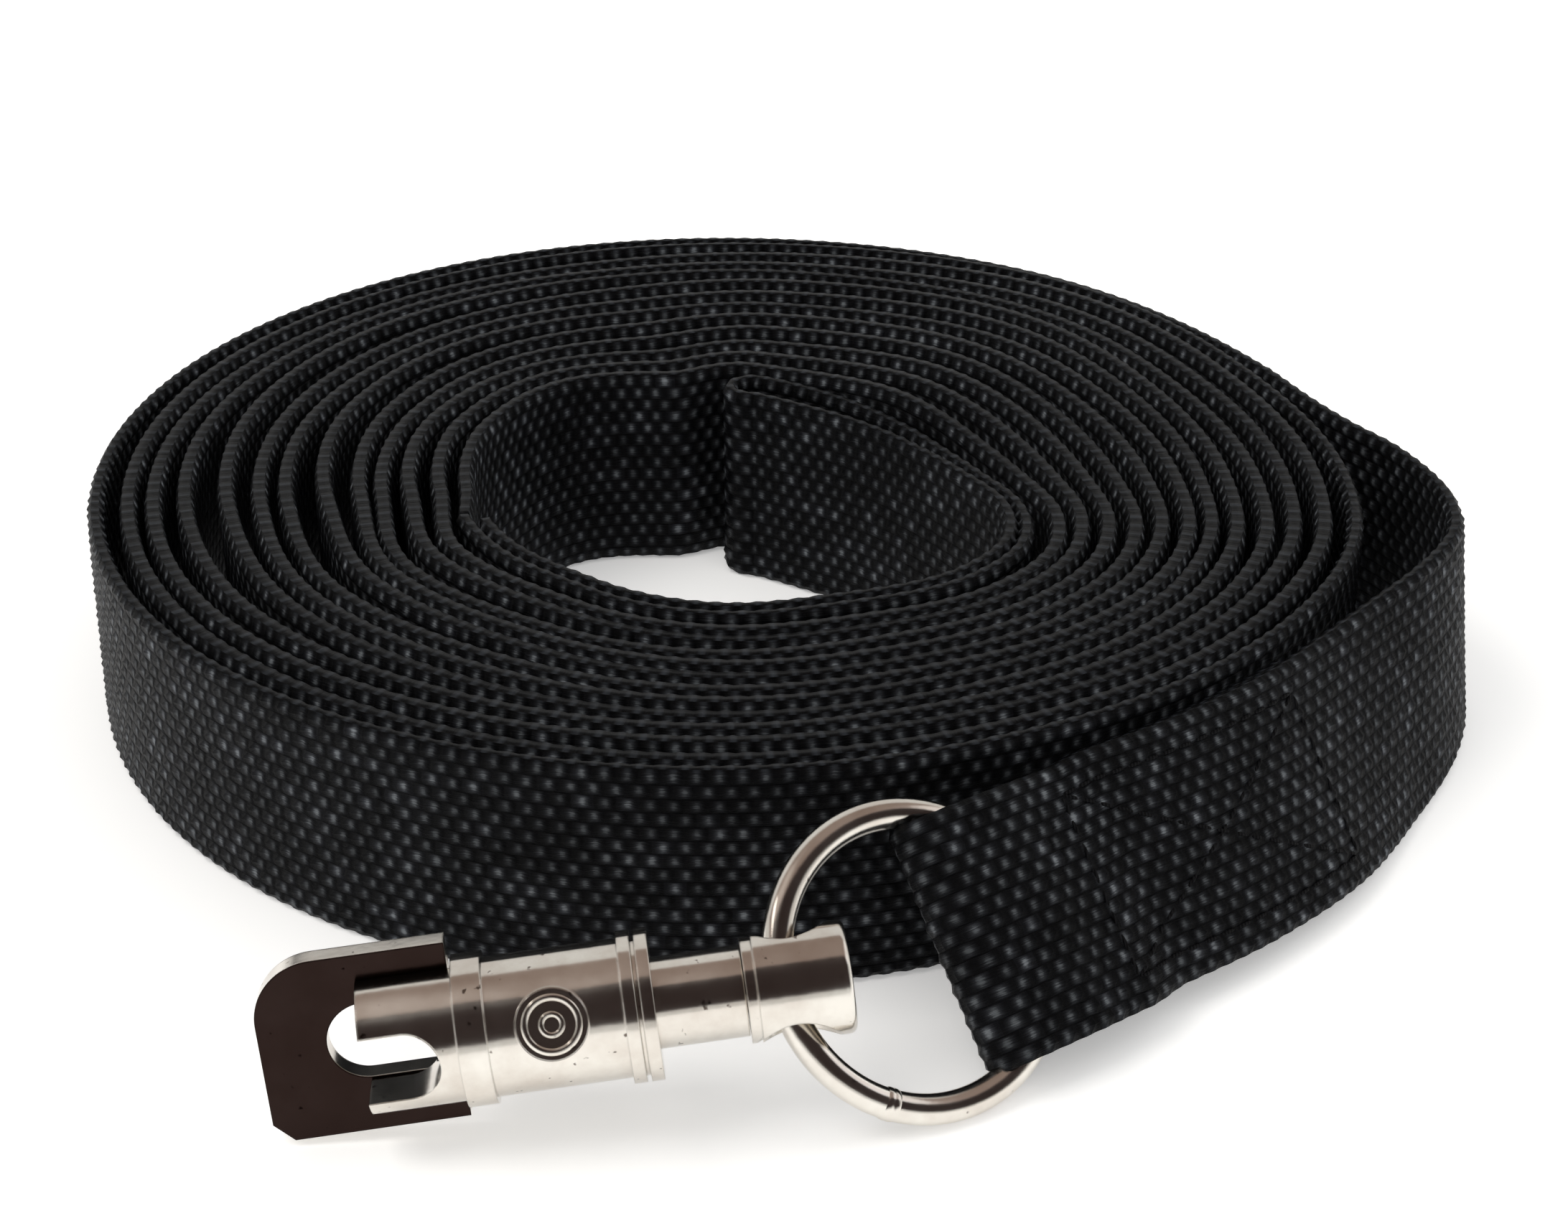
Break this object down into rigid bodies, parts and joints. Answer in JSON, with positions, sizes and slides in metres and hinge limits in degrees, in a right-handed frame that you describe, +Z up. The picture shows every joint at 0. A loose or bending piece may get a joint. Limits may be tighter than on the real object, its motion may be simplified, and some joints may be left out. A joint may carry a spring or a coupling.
{
  "type": "training leash",
  "caption": "Long flat webbing training lead, wound on edge into a coil, with a hand loop inside and a swivel snap at the sewn ring end.",
  "frame": {"origin": "centre of the bounding box on the surface the leash lies on", "axes": "+Z up through the coil's eye, +X along the snap from its hook towards the ring, +Y from the snap towards the coil"},
  "size_m": [0.1564, 0.1708, 0.0251],
  "materials": {
    "webbing": "coarse woven webbing, black",
    "thread": "bonded sewing thread, black",
    "nickel": "polished nickel plate",
    "spring_steel": "bright drawn wire"
  },
  "bodies": {
    "webbing": {"webbing_coil": "webbing", "webbing_hand_loop": "webbing", "webbing_free_run": "webbing", "webbing_ring_fold": "webbing", "hand_loop_stitch": "thread", "ring_box_stitch": "thread"},
    "ring": {"ring": "nickel"},
    "head": {"swivel_head": "nickel"},
    "hook": {"hook_plate": "nickel", "shank": "nickel", "return_spring": "spring_steel"},
    "sleeve": {"sliding_sleeve": "nickel"}
  },
  "joints": [
    {"name": "ring_turn", "type": "hinge", "parent": "webbing", "child": "ring", "pos_m": [0.0024, -0.0735, 0.01215], "axis": [0.2882, -0.6976, 0.656], "range_deg": [-20, 0]},
    {"name": "head_swing", "type": "hinge", "parent": "ring", "child": "head", "pos_m": [-0.01085, -0.07786, 0.01333], "axis": [-0.1456, 0.6451, 0.7501], "range_deg": [-10, 70]},
    {"name": "swivel", "type": "hinge", "parent": "head", "child": "hook", "pos_m": [-0.0597, -0.0766, 0.0088], "axis": [0.9947, -0.0304, 0.0985], "continuous": true},
    {"name": "sleeve_slide", "type": "slide", "parent": "hook", "child": "sleeve", "axis": [0.9947, -0.0304, 0.0985], "range_m": [0, 0.0079], "stiffness_N_per_m": 400, "springref_m": -0.004, "deforming": ["return_spring"]}
  ]
}
